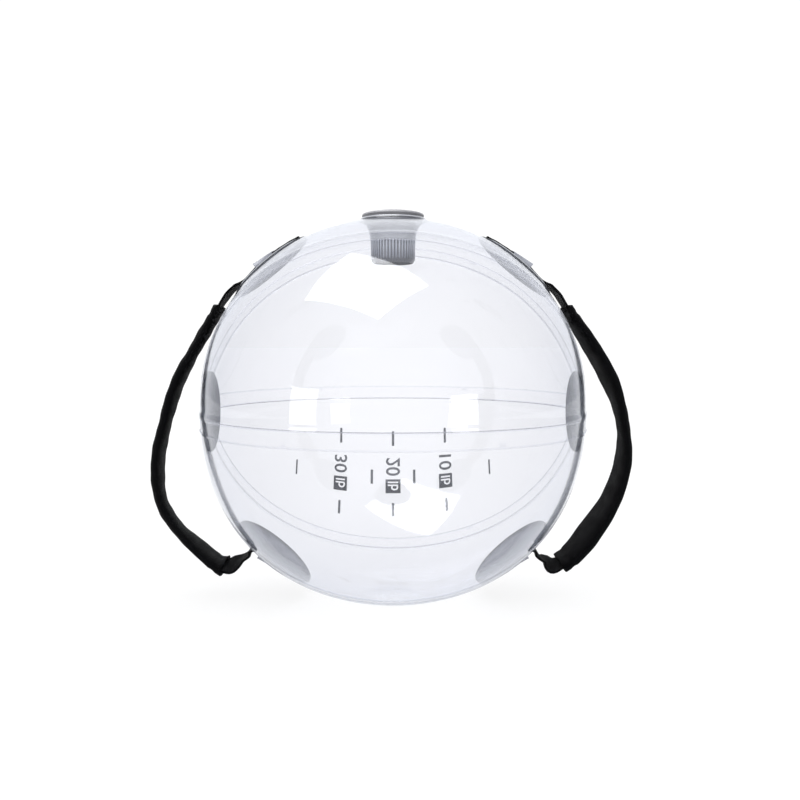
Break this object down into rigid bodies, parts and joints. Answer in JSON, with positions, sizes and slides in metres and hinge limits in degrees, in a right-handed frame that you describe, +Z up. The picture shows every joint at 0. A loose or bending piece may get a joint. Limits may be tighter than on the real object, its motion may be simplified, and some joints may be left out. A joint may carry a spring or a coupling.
{
  "type": "water-filled training ball",
  "caption": "Clear water-filled training ball with a screw-plug filler valve on top and a padded webbing handle on each side.",
  "frame": {"origin": "centre of the small flat that the ball rests on", "axes": "+Z up through the filler valve, +X through the right pole and towards the right handle, -Y towards the front"},
  "size_m": [0.4189, 0.3276, 0.3318],
  "materials": {
    "clear_film": "clear, glossy soft vinyl film",
    "tinted_film": "smoky translucent vinyl film",
    "anchor_vinyl": "satin grey vinyl",
    "webbing": "woven black webbing",
    "grip_fabric": "black fabric with a fine quilted texture",
    "foam": "soft closed-cell foam",
    "soft_valve_vinyl": "translucent grey soft vinyl",
    "valve_plastic": "moulded blue-grey plastic",
    "plug_plastic": "moulded grey plastic",
    "seal_rubber": "dark rubber"
  },
  "bodies": {
    "ball": {"anchor_cover_lower_left": "anchor_vinyl", "anchor_cover_lower_right": "anchor_vinyl", "anchor_cover_upper_left": "anchor_vinyl", "anchor_cover_upper_right": "anchor_vinyl", "anchor_disc_lower_left": "anchor_vinyl", "anchor_disc_lower_right": "anchor_vinyl", "anchor_disc_upper_left": "anchor_vinyl", "anchor_disc_upper_right": "anchor_vinyl", "flap_seat": "valve_plastic", "pole_cap_left": "clear_film", "pole_cap_right": "clear_film", "pole_disc_left": "tinted_film", "pole_disc_right": "tinted_film", "skin_gore_1": "clear_film", "skin_gore_2": "clear_film", "skin_gore_3": "clear_film", "skin_gore_4": "clear_film", "skin_gore_5": "clear_film", "skin_gore_6": "clear_film", "valve_body": "valve_plastic", "valve_collar": "soft_valve_vinyl", "web_end_lower_left": "webbing", "web_end_lower_right": "webbing", "web_end_upper_left": "webbing", "web_end_upper_right": "webbing"},
    "left_handle": {"grip_foam_left": "foam", "grip_sleeve_left": "grip_fabric", "handle_web_left": "webbing"},
    "right_handle": {"grip_foam_right": "foam", "grip_sleeve_right": "grip_fabric", "handle_web_right": "webbing"},
    "gasket": {"plug_gasket": "seal_rubber"},
    "plug": {"filler_plug": "plug_plastic"},
    "flap": {"check_flap": "seal_rubber"}
  },
  "joints": [
    {"name": "left_handle_swing", "type": "hinge", "parent": "ball", "child": "left_handle", "pos_m": [-0.1289, 0, 0.1534], "axis": [-0.0355, 0, 0.9994], "range_deg": [-14, 14], "stiffness_Nm_per_rad": 0.15},
    {"name": "right_handle_swing", "type": "hinge", "parent": "ball", "child": "right_handle", "pos_m": [0.1289, 0, 0.1534], "axis": [0.0355, 0, 0.9994], "range_deg": [-14, 14], "stiffness_Nm_per_rad": 0.15},
    {"name": "plug_lift", "type": "slide", "parent": "ball", "child": "gasket", "axis": [0, 0, 1], "range_m": [0, 0.04]},
    {"name": "plug_turn", "type": "hinge", "parent": "gasket", "child": "plug", "pos_m": [0, 0, 0.3244], "axis": [0, 0, 1], "range_deg": [0, 2880]},
    {"name": "flap_open", "type": "slide", "parent": "ball", "child": "flap", "axis": [0, 0, -1], "range_m": [0, 0.0025], "stiffness_N_per_m": 20}
  ],
  "couplings": [
    {"joint": "plug_lift", "follows": "plug_turn", "m_per_rad": 0.00079577}
  ]
}
